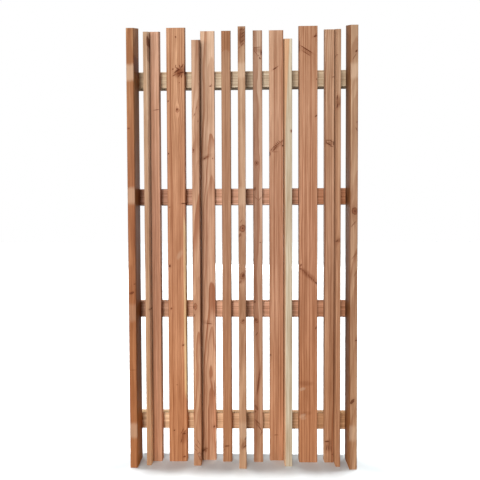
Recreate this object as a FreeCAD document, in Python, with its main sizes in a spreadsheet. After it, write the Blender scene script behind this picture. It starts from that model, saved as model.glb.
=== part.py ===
import FreeCAD, Part
import Sketcher
import math
import os

os.makedirs("parts", exist_ok=True)
doc = FreeCAD.newDocument("SlattedFencePanel")

# Driving dimensions of the panel, in millimetres and degrees.
dimensions = {
    # Planed timber: two thicknesses and three face widths, laid flat or set on edge.
    "heavy_thickness": 30,
    "light_thickness": 19,
    "wide_face": 75,
    "medium_face": 58,
    "narrow_face": 38,
    "slat_edge_radius": 3,
    # Height of the tallest slats at their back edge, how far the others stop below it,
    # and the weather cut that falls to the front.
    "full_height": 1800,
    "stepped_drop": 15,
    "short_drop": 50,
    "top_cut_angle": 26.5,
    # Open gaps between neighbours, counted from the middle of the panel outwards.
    "centre_gap": 30.2,
    "inner_gap": 28.7,
    "pair_gap": 1,
    "fin_gap": 31.3,
    "outer_gap": 29.5,
    "edge_gap": 32.7,
    # Rails across the back.
    "rail_height": 68,
    "rail_thickness": 30,
    "rail_edge_radius": 3,
    "rail_end_inset": 2,
    "bottom_rail_rise": 157,
    "top_rail_drop": 213,
    "lower_middle_rail_share": 0.332,
    "upper_middle_rail_share": 0.661,
    # Countersunk wood screws, driven through the rails from behind.
    "screw_diameter": 4.5,
    "screw_head_diameter": 9,
    "screw_point_length": 5,
    "screw_point_diameter": 1,
    "long_screw_length": 50,
    "short_screw_length": 45,
    "screw_spacing_share": 0.5,
    "countersink_angle": 90,
    "rail_hole_diameter": 5,
    "seat_clearance": 0.15,
    "pilot_clearance": 0.1,
    "pilot_overrun": 1,
    "cut_overrun": 2,
}
facet_count = 8

sheet = doc.addObject("Spreadsheet::Sheet", "Sizes")
for row, (name, number) in enumerate(dimensions.items(), start=1):
    sheet.set("A%d" % row, name)
    sheet.set("B%d" % row, str(number))
    sheet.setAlias("B%d" % row, name)
doc.recompute()


def cell(name):
    return "Sizes." + name


def value(expression):
    return float(sheet.evalExpression(expression))


full = cell("full_height")
stepped = "(%s - %s)" % (full, cell("stepped_drop"))
short = "(%s - %s)" % (full, cell("short_drop"))

# The slats of one half, from the middle outwards: name, width seen from the front,
# depth, height, gap on the side towards the middle, and screws at each rail.
half_row = [
    ("inner_slat", "narrow_face", "heavy_thickness", stepped, "centre_gap", 1),
    ("thin_slat", "medium_face", "light_thickness", stepped, "inner_gap", 2),
    ("short_fin", "heavy_thickness", "medium_face", short, "pair_gap", 1),
    ("wide_slat", "wide_face", "heavy_thickness", full, "fin_gap", 2),
    ("narrow_slat", "narrow_face", "heavy_thickness", stepped, "outer_gap", 1),
    ("thin_fin", "light_thickness", "medium_face", stepped, "pair_gap", 1),
    ("edge_fin", "heavy_thickness", "wide_face", full, "edge_gap", 1),
]

# Height of each rail's centre line: the outer two keep their distance from the ends of
# the slats, and the other two divide the space between them.
lowest = cell("bottom_rail_rise")
highest = "(%s - %s)" % (full, cell("top_rail_drop"))
rails = {"bottom_rail": lowest}
for name in ("lower_middle_rail", "upper_middle_rail"):
    rails[name] = "(%s + (%s - %s) * %s)" % (lowest, highest, lowest, cell(name + "_share"))
rails["top_rail"] = highest

# Every slat with its centre line across the panel, written in the sheet's dimensions.
slats = [{
    "label": "centre_fin",
    "centre": "0",
    "width": cell("heavy_thickness"),
    "depth": cell("wide_face"),
    "height": full,
    "screws": 1,
}]
reach = cell("heavy_thickness") + " / 2"
for name, width, depth, height, gap, screws in half_row:
    centre = "%s + %s + %s / 2" % (reach, cell(gap), cell(width))
    reach = "%s + %s + %s" % (reach, cell(gap), cell(width))
    for side, place in (("left", "-(%s)" % centre), ("right", centre)):
        slats.append({
            "label": side + "_" + name,
            "centre": place,
            "width": cell(width),
            "depth": cell(depth),
            "height": height,
            "screws": screws,
        })
half_width = reach
panel_depth = "(%s + %s)" % (cell("wide_face"), cell("rail_thickness"))
rail_back = "%s / 2" % panel_depth
slat_back = "%s - %s" % (rail_back, cell("rail_thickness"))


def screw_offsets(slat):
    if slat["screws"] == 1:
        return ["0"]
    step = "%s * %s / 2" % (slat["width"], cell("screw_spacing_share"))
    return ["-(%s)" % step, step]


def origin_plane(body, role):
    for feature in body.Origin.OriginFeatures:
        if feature.Role == role:
            return feature


def add_body(label):
    body = doc.addObject("PartDesign::Body", label)
    body.Label = label
    return body


def add_sketch(body, name, role):
    sketch = body.newObject("Sketcher::SketchObject", body.Label + "_" + name)
    sketch.AttachmentSupport = [(origin_plane(body, role), "")]
    sketch.MapMode = "FlatFace"
    return sketch


def bind(sketch, constraint, expression):
    index = sketch.addConstraint(constraint)
    sketch.setExpression("Constraints[%d]" % index, expression)


# Closed outline of straight sides whose first corner lies on the sketch's origin.
def draw_outline(sketch, corners):
    count = len(corners)
    for index in range(count):
        start = FreeCAD.Vector(*corners[index], 0)
        end = FreeCAD.Vector(*corners[(index + 1) % count], 0)
        sketch.addGeometry(Part.LineSegment(start, end), False)
    for index in range(count):
        sketch.addConstraint(Sketcher.Constraint("Coincident", index, 2, (index + 1) % count, 1))
    sketch.addConstraint(Sketcher.Constraint("Coincident", 0, 1, -1, 1))


def pad_both_ways(body, sketch, length):
    pad = body.newObject("PartDesign::Pad", body.Label + "_stock")
    pad.Profile = sketch
    pad.SideType = "Symmetric"
    pad.setExpression("Length", length)
    doc.recompute()
    return pad


# Rounds the edges of the planed stock that run along one direction.
def round_long_edges(body, base, direction, radius):
    names = []
    for index, edge in enumerate(base.Shape.Edges, start=1):
        along = edge.Vertexes[1].Point.sub(edge.Vertexes[0].Point).normalize()
        if abs(along.dot(direction)) > 1 - Part.Precision.confusion():
            names.append("Edge%d" % index)
    fillet = body.newObject("PartDesign::Fillet", body.Label + "_rounding")
    fillet.Base = (base, names)
    fillet.setExpression("Radius", radius)
    doc.recompute()
    return fillet


# A shape turned about the Y axis, with a few flat sides to keep many copies light.
# Each ring has a distance towards the front and a diameter.
def turned(rings):
    outlines = []
    for distance, diameter in rings:
        points = []
        for index in range(facet_count):
            angle = 2 * math.pi * index / facet_count
            across = diameter / 2 * math.cos(angle)
            points.append(FreeCAD.Vector(across, -distance, diameter / 2 * math.sin(angle)))
        outlines.append(points)
    flats = [outlines[0], outlines[-1]]
    for near, far in zip(outlines, outlines[1:]):
        for index in range(facet_count):
            after = (index + 1) % facet_count
            flats.append([near[index], near[after], far[after], far[index]])
    faces = [Part.Face(Part.makePolygon(corners + corners[:1])) for corners in flats]
    solid = Part.Solid(Part.Shell(faces))
    if solid.Volume < 0:
        solid.reverse()
    return solid


# Copies of one shape at several places, as a compound of separate solids.
def copies(shape, places):
    solids = []
    for place in places:
        solid = shape.copy()
        solid.translate(FreeCAD.Vector(*place))
        solids.append(solid)
    return Part.makeCompound(solids)


# Cuts the drilled holes out of a piece of planed stock.
def drill(label, stock, cutter, places):
    doc.recompute()
    drills = doc.addObject("Part::Feature", label + "_drills")
    drills.Shape = copies(cutter, places)
    piece = doc.addObject("Part::Cut", label)
    piece.Label = label
    piece.Base = stock
    piece.Tool = drills
    doc.recompute()
    if not piece.Shape.Volume < stock.Shape.Volume:
        raise RuntimeError(label + ": the drills cut nothing")
    return piece


def screw_length(slat):
    if slat["depth"] == cell("light_thickness"):
        return cell("short_screw_length")
    return cell("long_screw_length")


# Where the screws cross the panel in one slat, as distances from its middle.
def screw_lines(slat):
    return [value("%s + %s" % (slat["centre"], across)) for across in screw_offsets(slat)]


# One slat: its side outline with the sloping top, padded to its width, edges rounded,
# and pilot holes in its back where the rails cross it.
def make_slat(slat):
    body = add_body(slat["label"] + "_stock")
    front_height = "%s - %s * tan(%s)" % (slat["height"], slat["depth"], cell("top_cut_angle"))
    depth = value(slat["depth"])
    height = value(slat["height"])
    sketch = add_sketch(body, "side", "YZ_Plane")
    draw_outline(sketch, [(0, 0), (-depth, 0), (-depth, value(front_height)), (0, height)])
    sketch.addConstraint(Sketcher.Constraint("Horizontal", 0))
    sketch.addConstraint(Sketcher.Constraint("Vertical", 1))
    sketch.addConstraint(Sketcher.Constraint("Vertical", 3))
    bind(sketch, Sketcher.Constraint("DistanceX", 0, 2, 0, 1, depth), slat["depth"])
    bind(sketch, Sketcher.Constraint("DistanceY", 1, 1, 1, 2, value(front_height)), front_height)
    bind(sketch, Sketcher.Constraint("DistanceY", 3, 2, 3, 1, height), slat["height"])
    pad = pad_both_ways(body, sketch, slat["width"])
    round_long_edges(body, pad, FreeCAD.Vector(0, 0, 1), cell("slat_edge_radius"))
    body.setExpression("Placement.Base.x", slat["centre"])
    body.setExpression("Placement.Base.y", slat_back)
    bore = value("%s + 2 * %s" % (cell("screw_diameter"), cell("pilot_clearance")))
    floor = value("%s - %s + %s" % (screw_length(slat), cell("rail_thickness"), cell("pilot_overrun")))
    pilot = turned([(-value(cell("cut_overrun")), bore), (floor, bore)])
    levels = [value(centre) for centre in rails.values()]
    places = [(line, value(slat_back), level) for level in levels for line in screw_lines(slat)]
    return drill(slat["label"], body, pilot, places)


# One rail: a rectangle padded across the panel, edges rounded, with a countersunk
# hole from behind for every screw.
def make_rail(label):
    body = add_body(label + "_stock")
    thickness = value(cell("rail_thickness"))
    height = value(cell("rail_height"))
    sketch = add_sketch(body, "end", "YZ_Plane")
    draw_outline(sketch, [(0, 0), (thickness, 0), (thickness, height), (0, height)])
    sketch.addConstraint(Sketcher.Constraint("Horizontal", 0))
    sketch.addConstraint(Sketcher.Constraint("Vertical", 1))
    sketch.addConstraint(Sketcher.Constraint("Horizontal", 2))
    sketch.addConstraint(Sketcher.Constraint("Vertical", 3))
    bind(sketch, Sketcher.Constraint("DistanceX", 0, 1, 0, 2, thickness), cell("rail_thickness"))
    bind(sketch, Sketcher.Constraint("DistanceY", 1, 1, 1, 2, height), cell("rail_height"))
    pad = pad_both_ways(body, sketch, "2 * (%s - %s)" % (half_width, cell("rail_end_inset")))
    round_long_edges(body, pad, FreeCAD.Vector(1, 0, 0), cell("rail_edge_radius"))
    body.setExpression("Placement.Base.y", slat_back)
    body.setExpression("Placement.Base.z", "%s - %s / 2" % (rails[label], cell("rail_height")))
    overrun = value(cell("cut_overrun"))
    bore = value(cell("rail_hole_diameter"))
    mouth = value("%s + 2 * %s" % (cell("screw_head_diameter"), cell("seat_clearance")))
    slope = math.tan(math.radians(value(cell("countersink_angle")) / 2))
    countersink = (mouth - bore) / 2 / slope
    drill_bit = turned([
        (-overrun, mouth + 2 * overrun * slope),
        (countersink, bore),
        (thickness + overrun, bore),
    ])
    places = [(line, value(rail_back), value(rails[label])) for slat in slats for line in screw_lines(slat)]
    return drill(label, body, drill_bit, places)


# The screws of one length along one rail, as a group of separate solids.
def make_screw_group(rail, kind):
    length = cell(kind + "_screw_length")
    head = value(cell("screw_head_diameter"))
    shank = value(cell("screw_diameter"))
    neck = (head - shank) / 2 / math.tan(math.radians(value(cell("countersink_angle")) / 2))
    shoulder = value("%s - %s" % (length, cell("screw_point_length")))
    screw = turned([
        (0, head),
        (neck, shank),
        (shoulder, shank),
        (value(length), value(cell("screw_point_diameter"))),
    ])
    lines = [line for slat in slats if screw_length(slat) == length for line in screw_lines(slat)]
    group = doc.addObject("Part::Feature", "%s_%s_screws" % (rail, kind))
    group.Label = group.Name
    group.Shape = copies(screw, [(line, 0, 0) for line in lines])
    group.Placement = FreeCAD.Placement(
        FreeCAD.Vector(0, value(rail_back), value(rails[rail])), FreeCAD.Rotation())
    return group


pieces = [make_slat(slat) for slat in slats]
pieces += [make_rail(label) for label in rails]
pieces += [make_screw_group(rail, kind) for rail in rails for kind in ("long", "short")]
doc.recompute()

for item in doc.Objects:
    if "Invalid" in item.State or "Error" in item.State:
        raise RuntimeError(item.Label + " failed to build")
for piece in pieces:
    if piece.Shape.isNull() or not piece.Shape.isValid():
        raise RuntimeError(piece.Label + " has no valid shape")
for piece in pieces:
    piece.Shape.exportStep("parts/%s.step" % piece.Label)
print("pieces written:", len(pieces))
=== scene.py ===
import math

import bmesh
import bpy
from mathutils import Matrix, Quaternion, Vector


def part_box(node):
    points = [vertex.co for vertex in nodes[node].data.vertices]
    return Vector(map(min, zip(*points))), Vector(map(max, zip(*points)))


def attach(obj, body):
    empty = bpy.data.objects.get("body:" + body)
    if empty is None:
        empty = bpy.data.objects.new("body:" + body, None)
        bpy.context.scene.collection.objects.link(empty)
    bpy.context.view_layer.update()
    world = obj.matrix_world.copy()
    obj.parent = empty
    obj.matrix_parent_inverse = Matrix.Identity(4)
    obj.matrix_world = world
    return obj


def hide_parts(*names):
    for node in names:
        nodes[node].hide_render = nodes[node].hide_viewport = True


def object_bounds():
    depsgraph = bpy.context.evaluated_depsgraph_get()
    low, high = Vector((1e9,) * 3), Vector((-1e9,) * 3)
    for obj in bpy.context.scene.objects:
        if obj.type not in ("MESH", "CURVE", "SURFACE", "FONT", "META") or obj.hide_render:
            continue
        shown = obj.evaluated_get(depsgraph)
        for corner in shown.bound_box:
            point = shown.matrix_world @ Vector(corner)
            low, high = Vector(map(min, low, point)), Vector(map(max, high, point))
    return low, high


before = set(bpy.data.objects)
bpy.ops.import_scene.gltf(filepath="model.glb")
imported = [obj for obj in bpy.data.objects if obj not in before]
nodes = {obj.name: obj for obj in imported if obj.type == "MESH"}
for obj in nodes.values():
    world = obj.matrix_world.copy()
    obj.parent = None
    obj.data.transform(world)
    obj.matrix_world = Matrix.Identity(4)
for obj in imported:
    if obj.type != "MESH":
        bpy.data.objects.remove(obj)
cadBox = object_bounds()
mm = 0.001
print("frame loaded:", len(nodes), "nodes")


# small helpers for node trees
def wire(tree, value, socket):
    if isinstance(value, bpy.types.NodeSocket):
        tree.links.new(value, socket)
    else:
        socket.default_value = value


def calc(tree, operation, *values):
    node = tree.nodes.new("ShaderNodeMath")
    node.operation = operation
    for value, socket in zip(values, node.inputs):
        wire(tree, value, socket)
    return node.outputs[0]


def vectorCalc(tree, operation, *values):
    node = tree.nodes.new("ShaderNodeVectorMath")
    node.operation = operation
    for value, socket in zip(values, node.inputs):
        wire(tree, value, socket)
    return node.outputs[0]


def ease(tree, value, low, high, start=0.0, end=1.0):  # smooth step from low to high
    node = tree.nodes.new("ShaderNodeMapRange")
    node.interpolation_type = "SMOOTHSTEP"
    for number, socket in zip((value, low, high, start, end), node.inputs):
        wire(tree, number, socket)
    return node.outputs["Result"]


def mixColour(tree, factor, first, second, mode="MIX"):
    node = tree.nodes.new("ShaderNodeMix")
    node.data_type = "RGBA"
    node.blend_type = mode
    wire(tree, factor, node.inputs[0])
    wire(tree, first, node.inputs[6])
    wire(tree, second, node.inputs[7])
    return node.outputs[2]


def split(tree, vector):
    node = tree.nodes.new("ShaderNodeSeparateXYZ")
    wire(tree, vector, node.inputs[0])
    return node.outputs


def join(tree, x, y, z):
    node = tree.nodes.new("ShaderNodeCombineXYZ")
    for value, socket in zip((x, y, z), node.inputs):
        wire(tree, value, socket)
    return node.outputs[0]


def noise(tree, vector, waves, detail=2.0, roughness=0.5):  # waves per metre on each axis
    node = tree.nodes.new("ShaderNodeTexNoise")
    wire(tree, vectorCalc(tree, "MULTIPLY", vector, waves), node.inputs["Vector"])
    node.inputs["Scale"].default_value = 1.0
    node.inputs["Detail"].default_value = detail
    node.inputs["Roughness"].default_value = roughness
    return node.outputs[0]


def waver(tree, vector, waves, detail=2.0, roughness=0.5):  # noise about zero
    return calc(tree, "SUBTRACT", noise(tree, vector, waves, detail, roughness), 0.5)


def squaredShare(tree, value, size):
    return calc(tree, "POWER", calc(tree, "DIVIDE", value, size), 2.0)


def turned(tree, x, z, tilt):  # along and across a mark that leans to the right by its tilt
    sine = calc(tree, "SINE", tilt)
    cosine = calc(tree, "COSINE", tilt)
    along = calc(tree, "ADD", calc(tree, "MULTIPLY", x, sine), calc(tree, "MULTIPLY", z, cosine))
    cross = calc(tree, "SUBTRACT", calc(tree, "MULTIPLY", x, cosine), calc(tree, "MULTIPLY", z, sine))
    return along, cross


def newGroup(name, inputs, outputs):
    group = bpy.data.node_groups.new(name, "ShaderNodeTree")
    kinds = {"value": "NodeSocketFloat", "vector": "NodeSocketVector", "colour": "NodeSocketColor"}
    for title, kind in inputs:
        group.interface.new_socket(name=title, in_out="INPUT", socket_type=kinds[kind])
    for title, kind in outputs:
        group.interface.new_socket(name=title, in_out="OUTPUT", socket_type=kinds[kind])
    source = group.nodes.new("NodeGroupInput")
    sink = group.nodes.new("NodeGroupOutput")
    return group, source.outputs, sink.inputs


def place(tree, group, **values):  # puts a group in a material, with its own values
    node = tree.nodes.new("ShaderNodeGroup")
    node.node_tree = group
    for name, value in values.items():
        title = "".join(" " + letter if letter.isupper() else letter for letter in name).title()
        wire(tree, value, node.inputs[title])
    return node.outputs


# a branch that grew through the board: the grain flows round it
knotLook = {
    "raggedWaves": (260.0, 120.0, 210.0),
    "ragged": 0.8,            # how uneven its outline is
    "core": (1.1, 0.8),       # where each part fades from and to, in radii of the knot
    "rim": (0.5, 0.95),
    "heart": (0.35, 0.12),
    "halo": (2.9, 0.9),
    "ringCount": 15.0,        # rings inside a large knot, and how dark they are
    "ringShade": 0.45,
    "bend": 3.0,              # how far up and down the grain bends, in long radii
}


def buildKnot():
    look = knotLook
    t, given, out = newGroup("branchKnot", [
        ("Flow", "vector"), ("Drift", "value"), ("Centre", "vector"), ("Radius", "value"),
        ("Stretch", "value"), ("Tilt", "value"), ("Darkness", "value"), ("Solid", "value"),
        ("Swirl", "value"), ("Core", "value"), ("Rim", "value"), ("Halo", "value")],
        [("Flow", "vector"), ("Drift", "value"), ("Core", "value"), ("Rim", "value"), ("Halo", "value")])
    spot = vectorCalc(t, "ADD", given["Flow"], join(t, given["Drift"], 0.0, 0.0))
    x, y, z = split(t, vectorCalc(t, "SUBTRACT", spot, given["Centre"]))
    along, cross = turned(t, x, z, given["Tilt"])
    longRadius = calc(t, "MULTIPLY", given["Radius"], given["Stretch"])
    crossPart = squaredShare(t, cross, given["Radius"])
    alongPart = squaredShare(t, along, longRadius)
    ragged = waver(t, spot, look["raggedWaves"], 3.0)
    distance = calc(t, "SQRT", calc(t, "ADD", crossPart, alongPart))
    distance = calc(t, "ADD", distance, calc(t, "MULTIPLY", ragged, look["ragged"]))
    core = ease(t, distance, *look["core"])
    ringed = calc(t, "SINE", calc(t, "MULTIPLY", distance, look["ringCount"]))
    ringed = calc(t, "MULTIPLY", ease(t, ringed, 0.1, 0.9), look["ringShade"])
    rim = calc(t, "MAXIMUM", ease(t, distance, *look["rim"]), ease(t, distance, *look["heart"]))
    filled = calc(t, "MAXIMUM", calc(t, "MAXIMUM", rim, ringed), given["Solid"])
    dark = calc(t, "MULTIPLY", core, filled)
    for name, mask in (("Core", core), ("Rim", dark), ("Halo", ease(t, distance, *look["halo"]))):
        wire(t, calc(t, "MAXIMUM", given[name], calc(t, "MULTIPLY", mask, given["Darkness"])), out[name])
    # grain lines squeeze past the branch, over a long stretch up and down
    reachAcross = squaredShare(t, x, given["Radius"])
    reachAlong = squaredShare(t, z, calc(t, "MULTIPLY", longRadius, look["bend"]))
    reach = calc(t, "MAXIMUM", calc(t, "ADD", reachAcross, reachAlong), 1.0)
    squeeze = calc(t, "MULTIPLY", x, calc(t, "DIVIDE", given["Swirl"], reach))
    wire(t, vectorCalc(t, "SUBTRACT", given["Flow"], join(t, squeeze, 0.0, 0.0)), out["Flow"])
    wire(t, calc(t, "ADD", given["Drift"], squeeze), out["Drift"])
    return t


# early and late wood as rings about a pith that lies beside or behind the board
ringLook = {
    "swayWaves": (7.0, 7.0, 1.9),
    "rippleWaves": (26.0, 26.0, 9.0),
    "ripple": 0.16,           # share of the ripples in the sway
    "unevenWaves": (0.4, 1.0, 1.0),
    "uneven": 2.2,            # how much the rings differ in width
    "late": (0.25, 0.88),     # where late wood darkens in a ring, and where it ends
    "lateEnd": (1.0, 0.93),
    "faintest": 0.35,         # weight of the faintest ring
}


def buildRings():
    look = ringLook
    t, given, out = newGroup("growthRings", [
        ("Place", "vector"), ("Seed", "vector"), ("Pith", "vector"), ("Lean", "vector"),
        ("Ring Width", "value"), ("Wander", "value")],
        [("Late", "value")])
    z = split(t, given["Place"])[2]
    stray = vectorCalc(t, "MULTIPLY", given["Lean"], join(t, z, z, 0.0))
    axis = vectorCalc(t, "ADD", given["Pith"], stray)
    away = vectorCalc(t, "MULTIPLY", vectorCalc(t, "SUBTRACT", given["Place"], axis), (1.0, 1.0, 0.0))
    length = t.nodes.new("ShaderNodeVectorMath")
    length.operation = "LENGTH"
    t.links.new(away, length.inputs[0])
    seeded = vectorCalc(t, "ADD", given["Place"], given["Seed"])
    sway = waver(t, seeded, look["swayWaves"], 2.0, 0.45)
    ripple = waver(t, seeded, look["rippleWaves"])
    sway = calc(t, "ADD", sway, calc(t, "MULTIPLY", ripple, look["ripple"]))
    radius = calc(t, "ADD", length.outputs["Value"], calc(t, "MULTIPLY", given["Wander"], sway))
    count = calc(t, "DIVIDE", radius, given["Ring Width"])
    uneven = noise(t, join(t, count, 0.0, 0.0), look["unevenWaves"], 1.0)
    count = calc(t, "ADD", count, calc(t, "MULTIPLY", uneven, look["uneven"]))
    phase = calc(t, "FRACT", count)
    late = calc(t, "MULTIPLY", ease(t, phase, *look["late"]), ease(t, phase, *look["lateEnd"]))
    number = t.nodes.new("ShaderNodeTexWhiteNoise")
    number.noise_dimensions = "1D"
    t.links.new(calc(t, "FLOOR", count), number.inputs["W"])
    weight = calc(t, "MULTIPLY", number.outputs["Value"], 1.0 - look["faintest"])
    weight = calc(t, "ADD", look["faintest"], weight)
    wire(t, calc(t, "MULTIPLY", late, weight), out["Late"])
    return t


# fine fibres, broad streaks and cloudy patches along the grain: waves, detail and roughness
fibreLook = {
    "Fine": ((330.0, 330.0, 7.0), 4.0, 0.7),
    "Streak": ((120.0, 120.0, 1.5), 3.0, 0.6),
    "Cloud": ((16.0, 16.0, 4.5), 3.0, 0.5),
}


def buildFibres():
    t, given, out = newGroup("woodFibres", [("Place", "vector"), ("Seed", "vector")],
                             [(name, "value") for name in fibreLook])
    seeded = vectorCalc(t, "ADD", given["Place"], given["Seed"])
    for name, look in fibreLook.items():
        wire(t, noise(t, seeded, *look), out[name])
    return t


frontSkin = (0.006, 0.002)  # m, marks on the front fade out over this depth


# pale mark across the face where a stacking lath kept the light off
bandLook = {
    "raggedWaves": (90.0, 40.0, 30.0),
    "ragged": 0.012,          # m
    "fadeOut": 0.009,         # m beyond its half width, and inside it
    "fadeIn": 0.011,
}


def buildBand():
    look = bandLook
    t, given, out = newGroup("stackingMark", [
        ("Place", "vector"), ("Height", "value"), ("Width", "value"), ("Strength", "value"),
        ("Front", "value"), ("Band", "value")],
        [("Band", "value")])
    x, y, z = split(t, given["Place"])
    ragged = waver(t, given["Place"], look["raggedWaves"])
    off = calc(t, "SUBTRACT", z, given["Height"])
    off = calc(t, "ABSOLUTE", calc(t, "ADD", off, calc(t, "MULTIPLY", ragged, look["ragged"])))
    half = calc(t, "MULTIPLY", given["Width"], 0.5)
    outer = calc(t, "ADD", half, look["fadeOut"])
    inner = calc(t, "SUBTRACT", half, look["fadeIn"])
    inside = calc(t, "MULTIPLY", ease(t, off, outer, inner), given["Strength"])
    onFront = ease(t, y, *(calc(t, "ADD", given["Front"], depth) for depth in frontSkin))
    wire(t, calc(t, "MAXIMUM", given["Band"], calc(t, "MULTIPLY", inside, onFront)), out["Band"])
    return t


# soft spot on the face: lifted pale fibres, or the stain round a knot
patchLook = {
    "raggedWaves": (150.0, 150.0, 60.0),
    "ragged": 0.9,
    "fade": (1.5, 0.45),      # from and to, in radii of the spot
}


def buildPatch():
    look = patchLook
    t, given, out = newGroup("softPatch", [
        ("Place", "vector"), ("Centre", "vector"), ("Radius", "value"), ("Stretch", "value"),
        ("Tilt", "value"), ("Strength", "value"), ("Mask", "value")],
        [("Mask", "value")])
    x, y, z = split(t, vectorCalc(t, "SUBTRACT", given["Place"], given["Centre"]))
    along, cross = turned(t, x, z, given["Tilt"])
    along = calc(t, "DIVIDE", along, given["Stretch"])
    reach = calc(t, "ADD", calc(t, "POWER", along, 2.0), calc(t, "POWER", cross, 2.0))
    reach = calc(t, "DIVIDE", calc(t, "SQRT", reach), given["Radius"])
    ragged = waver(t, given["Place"], look["raggedWaves"], 3.0)
    reach = calc(t, "ADD", reach, calc(t, "MULTIPLY", ragged, look["ragged"]))
    onFront = calc(t, "MULTIPLY", ease(t, y, *frontSkin), given["Strength"])
    spot = calc(t, "MULTIPLY", ease(t, reach, *look["fade"]), onFront)
    wire(t, calc(t, "MAXIMUM", given["Mask"], spot), out["Mask"])
    return t


# wood of another colour beyond a wandering line along the board: sapwood and weather stains; on the thin
# fin at the left it is painted light, a paler narrow side
stripeLook = {
    "swayWaves": (20.0, 20.0, 2.4),
    "swingFrom": 1.35,        # m, the line may swing across above this height
    "bowWaves": 30.0,         # the ends of the stripe are bowed across the board
    "bow": 0.05,
}


def buildStripe():
    look = stripeLook
    t, given, out = newGroup("sideStripe", [
        ("Place", "vector"), ("Seed", "vector"), ("Border", "value"), ("Blur", "value"), ("Side", "value"),
        ("From Height", "value"), ("To Height", "value"), ("Fade", "value"), ("Rise", "value")],
        [("Stripe", "value")])
    x, y, z = split(t, given["Place"])
    sway = waver(t, vectorCalc(t, "ADD", given["Place"], given["Seed"]), look["swayWaves"])
    high = calc(t, "MAXIMUM", calc(t, "SUBTRACT", z, look["swingFrom"]), 0.0)
    border = calc(t, "ADD", given["Border"], calc(t, "MULTIPLY", high, given["Rise"]))
    over = calc(t, "MULTIPLY", calc(t, "SUBTRACT", x, border), given["Side"])
    over = calc(t, "ADD", over, calc(t, "MULTIPLY", sway, given["Blur"]))
    half = calc(t, "MULTIPLY", given["Blur"], 0.5)
    across = ease(t, over, calc(t, "MULTIPLY", half, -1.0), half)
    bow = calc(t, "POWER", calc(t, "MULTIPLY", x, look["bowWaves"]), 2.0)
    bow = calc(t, "ADD", z, calc(t, "MULTIPLY", bow, look["bow"]))
    below = ease(t, bow, given["To Height"], calc(t, "SUBTRACT", given["To Height"], given["Fade"]))
    above = ease(t, bow, given["From Height"], calc(t, "ADD", given["From Height"], given["Fade"]))
    wire(t, calc(t, "MULTIPLY", across, calc(t, "MULTIPLY", below, above)), out["Stripe"])
    return t


# sawn ends, worn long edges, and narrow sides with painted shade towards the back and painted floor light
# near the floor
edgeLook = {
    "rubWaves": (60.0, 60.0, 18.0),
    "rubLeast": 0.0012,       # m
    "rubMore": 0.0036,
    "end": (0.35, 0.6),       # how far a face has to look up or sideways to count
    "flank": (0.55, 0.9),
    "inward": (-0.03, 0.032),  # m from the board's middle, where the painted shade on the narrow sides sets in
    "glowFull": 0.04,         # m above the floor, below which the painted floor light is full
    "sawWaves": (420.0, 420.0, 420.0),
    "teethWaves": 2600.0,
    "teeth": 0.08,
}


def buildEdges():
    look = edgeLook
    t, given, out = newGroup("boardEdges", [
        ("Place", "vector"), ("Normal", "vector"), ("Half Size", "vector"), ("Grime", "value"),
        ("Side Shade", "value"), ("Glow Reach", "value")],
        [("Edge", "value"), ("End", "value"), ("Saw", "value"), ("Deep", "value"), ("Glow", "value")])
    inset = vectorCalc(t, "SUBTRACT", given["Half Size"], vectorCalc(t, "ABSOLUTE", given["Place"]))
    insetX, insetY, insetZ = split(t, inset)
    corner = calc(t, "MAXIMUM", insetX, insetY)
    rub = noise(t, given["Place"], look["rubWaves"], 3.0)
    reach = calc(t, "ADD", look["rubLeast"], calc(t, "MULTIPLY", rub, look["rubMore"]))
    wire(t, ease(t, corner, reach, 0.0), out["Edge"])
    sideways, forwards, upwards = split(t, vectorCalc(t, "ABSOLUTE", given["Normal"]))
    wire(t, ease(t, upwards, *look["end"]), out["End"])
    flank = ease(t, sideways, *look["flank"])
    x, y, z = split(t, given["Place"])
    # painted shade: the narrow sides darken towards the back, and all over on the rails
    inward = calc(t, "MAXIMUM", ease(t, y, *look["inward"]), given["Grime"])
    wire(t, calc(t, "MULTIPLY", flank, calc(t, "MULTIPLY", inward, given["Side Shade"])), out["Deep"])
    # painted floor light: the narrow sides lighten near the floor, and all along on the rails
    low = ease(t, z, given["Glow Reach"], look["glowFull"])
    wire(t, calc(t, "MULTIPLY", flank, low), out["Glow"])
    teeth = calc(t, "SINE", calc(t, "MULTIPLY", x, look["teethWaves"]))
    rough = noise(t, given["Place"], look["sawWaves"], 3.0)
    wire(t, calc(t, "ADD", rough, calc(t, "MULTIPLY", teeth, look["teeth"])), out["Saw"])
    return t


# change of colour along a board from one end through the middle to the other: on the slats paler and cooler
# towards the top, on the rails painted light and shade, darkest towards the right end
lengthTintLook = {"lower": (0.05, 0.55), "upper": (0.5, 0.95)}  # shares of the board's length


def buildLengthTint():
    look = lengthTintLook
    t, given, out = newGroup("lengthTint", [
        ("Place", "vector"), ("Low", "colour"), ("Middle", "colour"), ("High", "colour"),
        ("Foot", "value"), ("Reach", "value"), ("Amount", "value")],
        [("Tint", "colour")])
    z = split(t, given["Place"])[2]
    share = calc(t, "DIVIDE", calc(t, "SUBTRACT", z, given["Foot"]), given["Reach"])
    tint = mixColour(t, ease(t, share, *look["lower"]), given["Low"], given["Middle"])
    tint = mixColour(t, ease(t, share, *look["upper"]), tint, given["High"])
    wire(t, mixColour(t, given["Amount"], (1.0, 1.0, 1.0, 1.0), tint), out["Tint"])
    return t


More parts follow.
